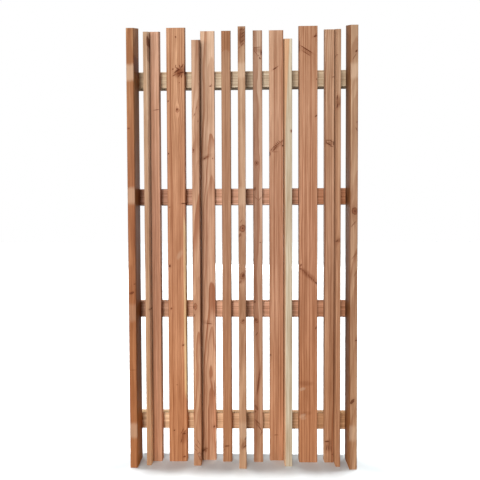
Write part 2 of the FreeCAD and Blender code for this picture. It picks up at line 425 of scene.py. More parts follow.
# brings all the marks of a planed, unfinished softwood board together
finishLook = {
    "streak": ((0.78, 0.70, 0.63, 1.0), (1.15, 1.19, 1.20, 1.0)),  # darkest and lightest shade
    "cloud": ((0.91, 0.87, 0.83, 1.0), (1.07, 1.09, 1.10, 1.0)),
    "fine": ((0.76, 0.70, 0.65, 1.0), (1.15, 1.18, 1.20, 1.0)),
    "saw": ((0.78, 0.74, 0.70, 1.0), (1.10, 1.10, 1.10, 1.0)),
    "stain": (0.44, 0.27, 0.19, 1.0),
    # colour of the painted shade on the narrow sides
    "grime": (0.26, 0.21, 0.17, 1.0),
    # colour of the painted floor light on the narrow sides
    "glow": (1.75, 1.95, 2.0, 1.0),
    "pale": (0.64, 0.45, 0.31, 1.0),
    "worn": (0.15, 0.075, 0.04, 1.0),
    "endEarly": (0.60, 0.45, 0.31, 1.0),
    "endLate": (0.34, 0.20, 0.12, 1.0),
    "shares": {"stripe": 0.75, "halo": 0.30, "core": 0.85, "pale": 0.66, "worn": 0.42},
    "roughness": {"plain": 0.62, "fine": 0.16, "late": -0.10, "core": 0.14, "end": 0.18},
    "relief": {"late": 0.45, "fine": 0.35, "rim": -0.6, "saw": 1.2},
}


def buildFinish():
    look = finishLook
    shares, roughness, relief = look["shares"], look["roughness"], look["relief"]
    t, given, out = newGroup("planedFinish", [
        ("Early", "colour"), ("Late Colour", "colour"), ("Knot Colour", "colour"), ("Rim Colour", "colour"),
        ("Stripe Colour", "colour"), ("Tint", "colour"),
        ("Late", "value"), ("Fine", "value"), ("Streak", "value"), ("Cloud", "value"),
        ("Core", "value"), ("Rim", "value"), ("Halo", "value"), ("Band", "value"), ("Stain", "value"),
        ("Stripe", "value"), ("Edge", "value"), ("End", "value"), ("Saw", "value"), ("Deep", "value"),
        ("Glow", "value"), ("Contrast", "value")],
        [("Colour", "colour"), ("Roughness", "value"), ("Height", "value")])

    def share(mask, amount):
        return calc(t, "MULTIPLY", given[mask], amount)

    def multiplied(base, tint):
        return mixColour(t, 1.0, base, tint, "MULTIPLY")

    def shade(base, mask, dark, light):  # darkens or lightens by a mask about its middle
        return multiplied(base, mixColour(t, ease(t, mask, 0.25, 0.75), dark, light))

    early = mixColour(t, given["Stripe"], given["Early"], given["Stripe Colour"])
    late = mixColour(t, share("Stripe", shares["stripe"]), given["Late Colour"], given["Stripe Colour"])
    colour = mixColour(t, calc(t, "MULTIPLY", given["Late"], given["Contrast"]), early, late)
    colour = shade(colour, given["Streak"], *look["streak"])
    colour = shade(colour, given["Cloud"], *look["cloud"])
    colour = shade(colour, given["Fine"], *look["fine"])
    colour = multiplied(colour, given["Tint"])
    colour = mixColour(t, share("Halo", shares["halo"]), colour, given["Late Colour"])
    colour = mixColour(t, given["Stain"], colour, multiplied(colour, look["stain"]))
    colour = mixColour(t, share("Core", shares["core"]), colour, given["Knot Colour"])
    colour = mixColour(t, given["Rim"], colour, given["Rim Colour"])
    colour = mixColour(t, given["Band"], colour, mixColour(t, shares["pale"], colour, look["pale"]))
    # painted shade on the narrow sides
    colour = mixColour(t, given["Deep"], colour, multiplied(colour, look["grime"]))
    # painted floor light on the narrow sides
    colour = mixColour(t, given["Glow"], colour, multiplied(colour, look["glow"]))
    colour = mixColour(t, share("Edge", shares["worn"]), colour, look["worn"])
    endTone = mixColour(t, given["Late"], look["endEarly"], look["endLate"])
    endTone = shade(endTone, given["Saw"], *look["saw"])
    wire(t, mixColour(t, given["End"], colour, endTone), out["Colour"])
    rough = calc(t, "ADD", share("Fine", roughness["fine"]), share("Late", roughness["late"]))
    rough = calc(t, "ADD", roughness["plain"], rough)
    rough = calc(t, "SUBTRACT", rough, share("Core", roughness["core"]))
    wire(t, calc(t, "ADD", rough, share("End", roughness["end"])), out["Roughness"])
    height = calc(t, "ADD", share("Late", relief["late"]), share("Fine", relief["fine"]))
    height = calc(t, "ADD", height, share("Rim", relief["rim"]))
    sawn = calc(t, "MULTIPLY", given["Saw"], given["End"])
    wire(t, calc(t, "ADD", height, calc(t, "MULTIPLY", sawn, relief["saw"])), out["Height"])
    return t


branchKnot = buildKnot()
growthRings = buildRings()
woodFibres = buildFibres()
stackingMark = buildBand()
softPatch = buildPatch()
sideStripe = buildStripe()
boardEdges = buildEdges()
lengthTint = buildLengthTint()
planedFinish = buildFinish()
print("shader groups built")


# what every board shares unless its own entry says otherwise
boardDefaults = {
    "pith": (70, 40),          # mm from the board's middle: across, towards the back
    "lean": (0.004, 0.003),    # how far the pith strays per unit of length
    "ringWidth": 5.0,          # mm
    "wander": 12.0,            # mm, how much the grain sways
    "contrast": 0.75,
    "knots": [],               # across mm, height mm, radius mm, stretch, tilt degrees, darkness
    "bands": [],               # height mm, width mm, strength
    "patches": [],             # pale: across mm, height mm, radius mm, stretch, tilt degrees, strength
    "stains": [],              # dark: the same values
    "stripe": None,            # border mm, blur mm, side, from and to height mm, fade mm, swing at the top
    "stripeColour": (0.66, 0.52, 0.34),
    "alongTint": 1.0,             # how strongly the tints along the board show
    "tints": {"low": (1.02, 0.93, 0.80), "middle": (1.0, 1.0, 1.0), "high": (1.10, 1.24, 1.30)},
    "grime": 0.0,              # painted shade over the whole narrow sides, not only towards the back, as on the rails' top and underside
    "sideShade": 0.5,          # how much darker the painted shade makes the narrow sides towards the back
    "glowReach": 0.42,         # m, up to here painted floor light lightens the narrow sides
    "along": "Z",
}
railDefaults = {"along": "X", "grime": 1.0, "sideShade": 0.9, "glowReach": -9.0}  # painted shade over the rails' top and underside, with painted floor light on them all along

# one entry for each board: tone is its colour seen from a step away
boards = {
    "left_edge_fin": {
        "tone": (0.364, 0.147, 0.064), "pith": (-8, 60), "ringWidth": 5.5,
        "tints": {"low": (1.02, 0.97, 0.90), "middle": (0.94, 0.92, 0.96), "high": (1.24, 1.60, 1.88)},
        "knots": [
            (-7.6, 1368, 3, 1.6, 85, 0.6), (-1, 712, 5, 2.0, 62, 0.7), (10, 748, 1.8, 2.0, 60, 0.8),
            (-11, 560, 1.6, 1.2, 0, 0.8), (0, 400, 1.4, 8.0, 88, 0.35),
            (17.5, 1630, 3.6, 14.0, 0, 0.55),
        ],
        "bands": [(1588, 66, 0.8), (1102, 66, 0.62), (632, 70, 0.25), (153, 62, 0.55)],
        "stripe": (13.5, 1, 1, -400, 1640, 90, 0.0), "stripeColour": (0.35, 0.135, 0.045),
    },
    "left_thin_fin": {
        # a paler stripe over its right narrow side, with no painted shade there, is painted light
        "tone": (0.442, 0.258, 0.160), "pith": (60, 30), "contrast": 0.45, "sideShade": 0.0,
        "stripe": (8.6, 0.5, 1, -400, 1990, 90, 0.0), "stripeColour": (0.80, 0.58, 0.42),
        "knots": [
            (6.7, 642, 3, 1.2, 0, 0.8), (8.7, 1721, 4.2, 5.0, 0, 0.85), (9.2, 1685, 3, 14.0, 0, 0.35),
        ],
    },
    "left_narrow_slat": {
        "tone": (0.483, 0.246, 0.157), "pith": (-60, 60), "contrast": 0.5, "alongTint": 0.7,
        "knots": [(6, 1455, 1.6, 8.0, 80, 0.6)],
    },
    "left_wide_slat": {
        "tone": (0.446, 0.208, 0.114), "pith": (-110, 50), "ringWidth": 6.0,
        "stripe": (28.5, 4, 1, 300, 1080, 60, 0.0), "stripeColour": (0.68, 0.47, 0.27),
        "knots": [
            (1.4, 1748, 2.6, 1.0, 0, 0.95), (16, 1603, 6, 1.6, 70, 0.4),
            (-10.6, 1619, 2.6, 1.5, 30, 0.75), (5, 1612, 2.3, 5.6, 47, 0.85),
            (12, 1613, 2.0, 5.0, 60, 0.7), (26, 1628, 3.2, 1.5, 60, 0.85),
            (23, 1604, 2.5, 6.0, 77, 0.9), (-6, 1594, 2.0, 4.0, 62, 0.6),
            (1.2, 1631, 1.7, 2.6, 0, 0.55), (9, 1621, 2.1, 5.0, -62, 0.75),
            (18, 1628, 1.9, 5.0, -18, 0.75), (29, 1632, 1.9, 4.5, 25, 0.75),
            (15, 1593, 1.9, 4.5, 40, 0.7), (25, 1590, 1.9, 4.0, 5, 0.7), (36, 1615, 2.4, 9.0, 0, 0.7),
            (15.5, 1564, 1.9, 1.2, 0, 0.6), (5.2, 1456, 3.4, 1.3, 30, 0.85),
            (7, 1452, 8.5, 1.1, 30, 0.35), (-31.4, 1490, 2.5, 1.0, 0, 0.9),
            (-31.5, 1277, 2.6, 1.0, 0, 0.95), (30, 1073, 2.2, 5.0, 90, 0.8),
            (-28, 1058, 1.6, 2.0, 60, 0.7), (-29.6, 816, 4.4, 1.3, 0, 0.9),
            (-24, 640, 3.4, 1.4, 30, 0.65), (23.7, 488, 3.4, 1.4, 60, 0.75),
            (-3, 322, 1.5, 2.0, 80, 0.5), (25, 117, 3.0, 2.4, 80, 0.8), (17, 128, 1.5, 11.0, 30, 0.5),
            (13, 87, 1.7, 5.5, 15, 0.55), (29, 127, 1.5, 8.0, 40, 0.5), (-16, 131, 2.2, 1.6, 60, 0.8),
            (25.3, 20, 3, 2.2, 70, 0.75),
        ],
        "stains": [
            (17, 1606, 17, 1.3, 60, 0.85), (24, 104, 12, 2.2, 12, 0.5), (35, 1610, 5, 4.0, 0, 0.5),
        ],
        "patches": [(12, 862, 9, 2.2, 30, 0.35)],
    },
    "left_short_fin": {
        "tone": (0.476, 0.259, 0.162), "pith": (12, 50), "lean": (0.004, 0.016), "wander": 22.0,
        "contrast": 0.95,
        "tints": {"low": (1.05, 1.0, 0.92), "middle": (1.08, 1.10, 1.12), "high": (1.0, 1.09, 1.15)},
        "knots": [
            (-8.7, 1285, 3.4, 1.0, 0, 0.9), (-9, 1277, 1.8, 2.0, 80, 0.6), (-5, 654, 8.5, 1.7, 0, 0.6),
            (-11, 652, 3, 1.6, 0, 0.85), (-9, 618, 1.6, 4.0, 20, 0.65), (8.5, 44, 8, 1.5, -20, 0.6),
            (9, 46, 1.8, 1.6, -20, 0.9), (11, 27, 2.8, 2.2, -30, 0.6), (0, 80, 1.5, 9.0, -40, 0.5),
            (-7, 66, 1.4, 8.0, -50, 0.45), (6, 96, 1.5, 8.0, -30, 0.45), (-4, 1425, 1.4, 5.0, 25, 0.75),
            (4, 1452, 1.4, 5.0, 20, 0.6), (10, 1400, 1.4, 4.0, 10, 0.6),
        ],
        "patches": [(8.5, 45, 4, 1.5, -20, 0.55)],
    },
    "left_thin_slat": {
        "tone": (0.512, 0.283, 0.183), "pith": (10, 42), "lean": (0.002, 0.018), "ringWidth": 4.5,
        "wander": 20.0, "contrast": 1.0,
        "tints": {"low": (1.14, 1.10, 1.02), "middle": (1.0, 1.0, 1.0), "high": (1.10, 1.27, 1.34)},
        "knots": [
            (-7.5, 1262, 4, 3.4, 62, 0.45), (-13, 1257, 2.4, 1.6, 60, 0.9), (20, 1258, 2, 1.6, 0, 0.6),
            (12.7, 1553, 2.4, 2.2, 80, 0.8), (16, 1558, 1.6, 2.0, 0, 0.5), (2, 575, 1.8, 7.0, 98, 0.65),
            (23, 300, 3.2, 12.0, -2, 0.45), (20.6, 142, 3.4, 1.6, 30, 0.9), (-22, 42, 3, 2.5, 50, 0.75),
            (-28, 38, 3, 1.5, 0, 0.8), (-15, 38, 3.5, 1.2, 0, 0.4), (-12, 48, 1.4, 4.0, 70, 0.5),
        ],
        "stains": [
            (-8, 1263, 9, 2.6, 66, 0.35), (-8, 580, 9, 2.2, 95, 0.3), (-20, 44, 9, 1.4, 60, 0.4),
        ],
    },
    "left_inner_slat": {
        "tone": (0.346, 0.174, 0.102), "pith": (70, 60), "contrast": 0.45,
        "tints": {"low": (1.12, 1.03, 0.88), "middle": (1.0, 1.0, 1.0), "high": (1.03, 1.11, 1.13)},
        "knots": [(-2.7, 66, 3.4, 3.0, 84, 0.55), (-13, 50, 1.5, 1.5, 0, 0.5)],
        "stripe": (-30, 1, 1, 1690, 1990, 8, 0.0), "stripeColour": (0.34, 0.155, 0.082),
    },
    "centre_fin": {
        "tone": (0.445, 0.258, 0.162), "pith": (6, 58), "ringWidth": 5.5, "wander": 14.0, "alongTint": 0.6,
        "knots": [
            (-4.2, 1719, 2.6, 12.0, 2, 0.45), (4.6, 1724, 1.9, 4.5, 48, 0.8),
            (6.4, 1737, 1.9, 4.5, 48, 0.75), (3.5, 1705, 1.9, 5.5, 50, 0.7),
            (3.5, 1692, 1.7, 5.5, 45, 0.6), (-1.5, 1750, 4, 1.8, 70, 0.7), (9, 1750, 1.8, 4.0, 45, 0.6),
            (15.6, 1728, 2, 12.0, 0, 0.5), (-9, 1680, 1.6, 4.0, 40, 0.45),
            (1.4, 969, 12, 1.3, 25, 0.78), (2, 970, 3.6, 1.3, 20, 0.9), (-9, 943, 5, 1.8, 30, 0.55),
            (-4, 998, 1.4, 6.0, 35, 0.5), (3, 782, 5, 1.5, 20, 0.95), (0, 780, 10, 1.5, 20, 0.5),
            (-8, 756, 4, 2.0, 40, 0.45), (3, 601, 3.2, 2.2, 45, 0.85), (1, 598, 8.5, 1.4, 30, 0.4),
            (11, 124, 2.8, 2.8, 30, 0.85), (9, 92, 2.0, 4.0, 45, 0.8),
        ],
        "stains": [(1, 1724, 15, 2.2, 0, 0.75), (7, 100, 10, 2.0, 30, 0.6), (0, 770, 10, 2.4, 20, 0.3)],
        "bands": [(1592, 60, 0.75), (1096, 72, 0.5), (155, 70, 0.4)],
    },
    "right_inner_slat": {
        "tone": (0.439, 0.252, 0.171), "pith": (-20, 55), "wander": 18.0,
        "knots": [
            (15, 1681, 3.2, 3.3, 0, 0.95), (-1.6, 1702, 1.4, 11.0, 86, 0.5),
            (-7, 1680, 1.6, 8.0, -38, 0.5), (9, 1659, 2.4, 1.5, 0, 0.8), (13, 1656, 1.8, 1.2, 0, 0.7),
            (3, 1669, 2, 2.0, 60, 0.45), (-4.9, 1236, 3.4, 1.2, 0, 0.95), (-4.9, 1236, 9, 1.1, 0, 0.5),
            (-13, 1130, 5, 1.6, 20, 0.6), (-8, 1094, 1.6, 7.0, -50, 0.4), (8, 1090, 1.6, 8.0, 40, 0.4),
            (-13.9, 667, 3.4, 1.4, 30, 0.9), (-7.1, 590, 8, 1.4, -25, 0.65),
            (-9, 593, 2.8, 1.6, -20, 0.85), (-6, 535, 1.7, 5.0, 30, 0.6), (9, 912, 1.7, 1.6, 80, 0.75),
            (0, 330, 3.4, 14.0, 7, 0.7), (-8, 228, 6, 2.2, -25, 0.5), (-12, 212, 3.4, 1.4, 10, 0.55),
            (-4, 168, 1.8, 9.0, -45, 0.6), (6, 142, 1.8, 9.0, -35, 0.55), (12, 122, 2.2, 5.0, 20, 0.5),
        ],
        "stains": [
            (-4, 1692, 9, 1.9, 100, 0.5), (4, 350, 6, 9.0, 7, 0.35), (-4, 160, 9, 2.4, -40, 0.35),
        ],
    },
    "right_thin_slat": {
        "tone": (0.440, 0.228, 0.142), "pith": (90, 30), "ringWidth": 6.0,
        "knots": [
            (-6, 1621, 2.4, 3.6, 58, 0.9), (4, 1628, 1.6, 4.0, 55, 0.4),
            (2.7, 1312, 1.4, 22.0, 55, 0.55), (-10, 1303, 1.5, 2.6, -40, 0.65),
            (-4.5, 1311, 1.5, 2.6, -40, 0.7), (0, 1316, 1.5, 2.6, -40, 0.7),
            (5.7, 1321, 1.5, 2.6, -40, 0.7), (11.3, 1326, 1.5, 2.6, -40, 0.65),
            (-5.7, 1297, 1.9, 8.5, 41, 0.7), (25.5, 1308, 2.8, 1.3, 30, 0.95),
            (-27, 1274, 2.6, 3.2, 5, 0.9), (-20, 1292, 2.0, 2.2, 50, 0.7),
            (-5.7, 1283, 1.4, 9.0, 90, 0.4), (-25.8, 444, 2.8, 1.0, 0, 0.9),
            (-3, 108, 1.8, 5.0, 88, 0.45),
        ],
        "stains": [(2, 1305, 8, 4.0, 50, 0.4), (22, 1325, 5, 2.2, 45, 0.5)],
    },
    "right_short_fin": {
        "tone": (0.54, 0.30, 0.17), "pith": (-60, 40), "contrast": 0.35, "alongTint": 0.15,
        "stripe": (-12, 7, 1, -400, 1900, 60, 0.045), "stripeColour": (0.554, 0.459, 0.340),
        "knots": [(11.3, 1357, 3, 1.8, 0, 0.9)],
    },
    "right_wide_slat": {
        "tone": (0.431, 0.206, 0.120), "pith": (-120, 25), "ringWidth": 7.0,
        "tints": {"low": (1.0, 0.90, 0.75), "middle": (1.0, 1.0, 1.0), "high": (1.09, 1.22, 1.27)},
        "knots": [
            (27.6, 1744, 3.8, 1.8, 70, 0.9), (30, 1750, 2, 3.0, 20, 0.5),
            (-8, 1692, 2.1, 13.5, -57, 0.8), (-9, 1676, 1.5, 14.0, -58, 0.6),
            (-36, 1706, 2, 13.0, 0, 0.5), (30.7, 1424, 2.6, 2.0, 50, 0.85),
            (33, 1572, 1.8, 2.0, 0, 0.7), (32, 745, 3.2, 1.8, -30, 0.9),
            (-26, 800, 1.7, 5.0, -22, 0.55), (-17, 792, 1.7, 5.0, -22, 0.55),
            (-8, 783, 1.7, 5.0, -22, 0.55), (2, 774, 1.7, 5.0, -22, 0.55),
            (12, 764, 1.7, 5.0, -22, 0.55), (22, 755, 1.7, 5.0, -22, 0.55),
            (-30, 818, 3.4, 1.8, 20, 0.65), (-33, 803, 2.4, 2.0, 0, 0.6), (31, 560, 2.4, 3.0, 20, 0.65),
        ],
        "stains": [
            (-8, 1684, 8, 3.2, -57, 0.4), (0, 777, 11, 4.0, -50, 0.5), (-12, 330, 10, 3.2, 92, 0.35),
            (-10, 205, 8, 3.0, 85, 0.3),
        ],
        "patches": [
            (-25, 306, 6, 2.4, 70, 0.5), (-24, 194, 7, 2.0, 60, 0.5), (-20, 184, 6, 2.0, 80, 0.3),
        ],
    },
    "right_narrow_slat": {
        "tone": (0.397, 0.212, 0.129), "pith": (50, 55), "ringWidth": 5.5, "alongTint": 0.9,
        "knots": [
            (-5, 1326, 1.6, 8.0, 88, 0.75), (-3.2, 1310, 2.1, 5.6, -61, 0.85),
            (6.4, 1323, 1.6, 5.0, -60, 0.7), (16.5, 1317, 2.6, 1.6, 0, 0.95),
            (16.5, 1309, 2.2, 1.6, 0, 0.9), (7.5, 1301, 1.5, 5.5, 100, 0.65),
            (-14, 1318, 1.8, 3.0, 5, 0.7), (14, 1580, 1.6, 3.0, 80, 0.6),
            (-8.8, 88, 3.2, 2.8, 84, 0.85), (-10, 62, 1.5, 8.0, 8, 0.6), (-2, 60, 1.5, 9.0, -8, 0.6),
            (8, 58, 1.5, 9.0, 0, 0.5), (13, 34, 1.9, 2.0, 0, 0.65),
        ],
        "stains": [(2, 1314, 8, 2.0, 90, 0.45), (-3, 72, 11, 2.4, 10, 0.45)],
    },
    "right_thin_fin": {
        "tone": (0.453, 0.245, 0.149), "pith": (-45, 30), "contrast": 0.5,
        "tints": {"low": (0.90, 0.80, 0.70), "middle": (1.0, 0.98, 0.96), "high": (0.96, 1.06, 1.10)},
        "knots": [
            (-6, 1487, 2.2, 5.0, 5, 0.85), (-5, 1455, 2.4, 4.0, 15, 0.9), (4, 1462, 1.6, 4.0, 25, 0.55),
            (-5.7, 918, 3.4, 1.6, 20, 0.85), (3, 920, 7, 1.5, 60, 0.4), (-7, 1655, 2, 2.0, 90, 0.6),
        ],
        "stains": [(0, 1470, 9, 2.8, 6, 0.6), (-6, 915, 8, 2.6, 10, 0.3)],
    },
    "right_edge_fin": {
        "tone": (0.389, 0.219, 0.133), "pith": (10, 62), "lean": (0.010, 0.024), "wander": 22.0,
        "alongTint": 0.7,
        "knots": [
            (7.2, 1661, 3.2, 1.8, 40, 0.9), (0, 1640, 1.6, 9.0, 32, 0.5), (3, 1036, 12.5, 1.15, 0, 0.8),
            (4, 1036, 5, 1.3, 0, 0.7), (-2, 985, 1.6, 9.0, 40, 0.55), (-5, 276, 6, 2.0, 38, 0.85),
            (9.1, 522, 2.6, 1.6, 60, 0.85), (9, 1357, 1.6, 5.0, -30, 0.6), (10, 1385, 2, 2.0, 0, 0.6),
            (2, 860, 1.5, 12.0, 38, 0.45), (6, 790, 1.4, 10.0, 25, 0.4),
        ],
        "bands": [(1584, 62, 0.7), (147, 62, 0.5)],
        "stripe": (-13.5, 1, -1, -400, 1990, 90, 0.0), "stripeColour": (0.28, 0.115, 0.046),
    },
    # the rails' tints are painted light and shade along their length, darkest towards the right end
    "top_rail": {
        **railDefaults, "tone": (0.60, 0.49, 0.36), "pith": (90, 20), "contrast": 0.35,
        "tints": {"low": (1.12, 1.08, 1.02), "middle": (1.02, 1.02, 1.02), "high": (0.86, 0.79, 0.72)},
    },
    "upper_middle_rail": {
        **railDefaults, "tone": (0.68, 0.40, 0.285), "pith": (-80, 30), "contrast": 0.6,
        "tints": {"low": (0.68, 0.60, 0.55), "middle": (1.08, 1.07, 1.06), "high": (0.66, 0.49, 0.36)},
    },
    "lower_middle_rail": {
        **railDefaults, "tone": (0.67, 0.375, 0.25), "pith": (70, -40), "contrast": 0.7,
        "tints": {"low": (0.84, 0.84, 0.82), "middle": (1.10, 1.10, 1.10), "high": (0.72, 0.60, 0.50)},
    },
    "bottom_rail": {
        **railDefaults, "tone": (0.68, 0.43, 0.26), "pith": (-60, -40), "contrast": 0.6,
        "tints": {"low": (1.16, 1.26, 1.30), "middle": (1.06, 1.06, 1.08), "high": (0.76, 0.66, 0.56)},
    },
}

woodTints = {
    "early": (1.14, 1.20, 1.24),      # early wood against the board's tone
    "late": (0.60, 0.42, 0.33),       # late wood against the early wood
    "knot": (0.70, 0.38, 0.24),       # knots against the board's tone
    "rim": (0.14, 0.07, 0.05),        # their bark rims
}
knotSizes = {
    "smallBelow": 3.0,                # mm radius, dark all over
    "largeFrom": 8.0,                 # mm radius, shows its rings
    "fills": (0.95, 0.75, 0.1),       # small, middling and large knots
    "streakFrom": 4.0,                # stretch of a streak, which hardly bends the grain
    "swirls": (0.8, 0.15),            # round knots, and small ones or streaks
}
boardSheen = {"specular": 0.07, "bumpStrength": 0.35, "bumpDistance": 0.0006}
seedSteps = (1.37, 0.61, 2.93)        # takes each board from another place in the wood


def tinted(colour, tint):
    return tuple(min(a * b, 1.0) for a, b in zip(colour, tint)) + (1.0,)


def opaque(colour):
    return (*colour, 1.0)


def knotFill(radius):
    if radius < knotSizes["smallBelow"]:
        return knotSizes["fills"][0]
    return knotSizes["fills"][1 if radius < knotSizes["largeFrom"] else 2]


def knotSwirl(radius, stretch):
    rounded = radius > knotSizes["smallBelow"] and stretch < knotSizes["streakFrom"]
    return knotSizes["swirls"][0 if rounded else 1]


def woodMaterial(name, number):
    look = {**boardDefaults, **boards[name]}
    low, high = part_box(name)
    middle = (low + high) / 2
    half = (high - low) / 2
    material = bpy.data.materials.new(name + "_wood")
    material.use_nodes = True
    t = material.node_tree
    t.nodes.clear()
    coordinates = t.nodes.new("ShaderNodeTexCoord")
    lying = look["along"] == "X"
    centre = Vector((0.0, middle.y, middle.z)) if lying else Vector((middle.x, middle.y, 0.0))
    local = vectorCalc(t, "SUBTRACT", coordinates.outputs["Object"], tuple(centre))
    normal = coordinates.outputs["Normal"]
    if lying:  # turn the rail upright, so that its grain runs along Z as in the slats
        x, y, z = split(t, local)
        local = join(t, z, y, x)
        nx, ny, nz = split(t, normal)
        normal = join(t, nz, ny, nx)
        half = Vector((half.z, half.y, half.x))
    seed = tuple(number * step for step in seedSteps)
    flow, drift = local, 0.0
    core, rim, halo, band, stripe = 0.0, 0.0, 0.0, 0.0, 0.0
    for across, height, radius, stretch, tilt, darkness in look["knots"]:
        knot = place(t, branchKnot, flow=flow, drift=drift, centre=(across * mm, 0.0, height * mm),
                     radius=radius * mm, stretch=stretch, tilt=math.radians(tilt), darkness=darkness,
                     solid=knotFill(radius), swirl=knotSwirl(radius, stretch),
                     core=core, rim=rim, halo=halo)
        flow, drift, core, rim, halo = knot.values()
    for height, width, strength in look["bands"]:
        band = place(t, stackingMark, place=local, height=height * mm, width=width * mm, strength=strength,
                     front=-half.y, band=band)["Band"]
    masks = {"patches": band, "stains": 0.0}
    for kind in masks:
        for across, height, radius, stretch, tilt, strength in look[kind]:
            masks[kind] = place(t, softPatch, place=local, centre=(across * mm, -half.y, height * mm),
                                radius=radius * mm, stretch=stretch, tilt=math.radians(tilt),
                                strength=strength, mask=masks[kind])["Mask"]
    if look["stripe"]:
        border, blur, side, fromHeight, toHeight, fade, rise = look["stripe"]
        stripe = place(t, sideStripe, place=local, seed=seed, border=border * mm, blur=blur * mm,
                       side=side, fromHeight=fromHeight * mm, toHeight=toHeight * mm, fade=fade * mm,
                       rise=rise)["Stripe"]
    pith = (look["pith"][0] * mm, look["pith"][1] * mm, 0.0)
    rings = place(t, growthRings, place=flow, seed=seed, pith=pith, lean=(*look["lean"], 0.0),
                  ringWidth=look["ringWidth"] * mm, wander=look["wander"] * mm)
    fibres = place(t, woodFibres, place=flow, seed=seed)
    edges = place(t, boardEdges, place=local, normal=normal, halfSize=tuple(half), grime=look["grime"],
                  sideShade=look["sideShade"], glowReach=look["glowReach"])
    tints = {end: opaque(tint) for end, tint in look["tints"].items()}
    alongTint = place(t, lengthTint, place=local, **tints, foot=-half.z if lying else 0.0,
                   reach=2.0 * half.z, amount=look["alongTint"])
    early = tinted(look["tone"], woodTints["early"])
    finish = place(t, planedFinish, early=early, lateColour=tinted(early, woodTints["late"]),
                   knotColour=tinted(look["tone"], woodTints["knot"]),
                   rimColour=tinted(look["tone"], woodTints["rim"]),
                   stripeColour=opaque(look["stripeColour"]), tint=alongTint["Tint"],
                   late=rings["Late"], fine=fibres["Fine"], streak=fibres["Streak"], cloud=fibres["Cloud"],
                   core=core, rim=rim, halo=halo,
                   band=masks["patches"], stain=masks["stains"], stripe=stripe,
                   edge=edges["Edge"], end=edges["End"], saw=edges["Saw"], deep=edges["Deep"],
                   glow=edges["Glow"], contrast=look["contrast"])
    bump = t.nodes.new("ShaderNodeBump")
    bump.inputs["Strength"].default_value = boardSheen["bumpStrength"]
    bump.inputs["Distance"].default_value = boardSheen["bumpDistance"]
    t.links.new(finish["Height"], bump.inputs["Height"])
    shader = t.nodes.new("ShaderNodeBsdfPrincipled")
    shader.inputs["Specular IOR Level"].default_value = boardSheen["specular"]
    t.links.new(finish["Colour"], shader.inputs["Base Color"])
    t.links.new(finish["Roughness"], shader.inputs["Roughness"])
    t.links.new(bump.outputs["Normal"], shader.inputs["Normal"])
    output = t.nodes.new("ShaderNodeOutputMaterial")
    t.links.new(shader.outputs[0], output.inputs["Surface"])
    return material


def dress(thing, material):
    thing.data.materials.clear()
    thing.data.materials.append(material)


for number, name in enumerate(boards):
    dress(nodes[name], woodMaterial(name, number))
print("boards dressed:", len(boards))


# countersunk screws with a cross recess, seen from behind
screwLook = {
    "headRadius": 4.25,        # mm, as all lengths here
    "headChamfer": 0.3,
    "headBevel": 0.15,
    "headRim": 0.4,
    "headDepth": 2.2,
    "shankRadius": 2.05,
    "recessReach": 2.4,
    "recessWaist": 0.85,
    "recessLip": 0.05,
    "recessDepth": 1.7,
    "recessTaper": 0.55,
    "pointLength": 5.0,
    "pointRadius": 0.3,
    "longLength": 50.0,
    "shortLength": 45.0,
    "pairSpread": 0.25,        # places of two screws in a broad slat, as shares of its width
    "turn": 37.0,              # how much the recess turns from screw to screw
    "segments": 32,
    "smoothBelow": 35.0,       # degrees
    "colour": (0.60, 0.585, 0.55, 1.0),
    "stain": (0.42, 0.38, 0.33, 1.0),
    "stainWaves": (700.0, 700.0, 700.0),
    "roughness": 0.34,
    "stainRoughness": 0.52,
}


def screwMaterial():
    look = screwLook
    material = bpy.data.materials.new("screw_steel")
    material.use_nodes = True
    t = material.node_tree
    shader = t.nodes["Principled BSDF"]
    coordinates = t.nodes.new("ShaderNodeTexCoord")
    stain = noise(t, coordinates.outputs["Object"], look["stainWaves"], 3.0)
    tone = mixColour(t, ease(t, stain, 0.45, 0.75), look["colour"], look["stain"])
    t.links.new(tone, shader.inputs["Base Color"])
    dull = ease(t, stain, 0.3, 0.8, look["roughness"], look["stainRoughness"])
    t.links.new(dull, shader.inputs["Roughness"])
    shader.inputs["Metallic"].default_value = 1.0
    return material


# rings of one screw, from the bottom of its recess over the head to the point: radius and depth in mm
def screwRings(length):
    look = screwLook
    steps = look["segments"]
    cross = []
    for step in range(steps):
        onArm = step % (steps // 4) in (0, 1, steps // 4 - 1)
        cross.append(look["recessReach"] if onArm else look["recessWaist"])
    rings = [
        [(look["recessTaper"] * radius, look["recessDepth"]) for radius in cross],
        [(radius, look["recessLip"]) for radius in cross],
    ]
    outline = [
        (look["headRadius"] - look["headChamfer"], 0.0),
        (look["headRadius"], look["headBevel"]),
        (look["headRadius"], look["headRim"]),
        (look["shankRadius"], look["headDepth"] + look["headRim"]),
        (look["shankRadius"], length - look["pointLength"]),
        (look["pointRadius"], length),
    ]
    return rings + [[point] * steps for point in outline]


def addScrew(mesh, at, turn, length):
    steps = screwLook["segments"]
    rows = []
    for ring in screwRings(length):
        row = []
        for step, (radius, depth) in enumerate(ring):
            angle = 2.0 * math.pi * step / steps + turn
            offset = Vector((radius * math.cos(angle), -depth, radius * math.sin(angle)))
            row.append(mesh.verts.new(at + offset * mm))
        rows.append(row)
    for inner, outer in zip(rows, rows[1:]):
        for step in range(steps):
            after = (step + 1) % steps
            mesh.faces.new((inner[step], inner[after], outer[after], outer[step]))
    mesh.faces.new(list(reversed(rows[0])))
    mesh.faces.new(rows[-1])


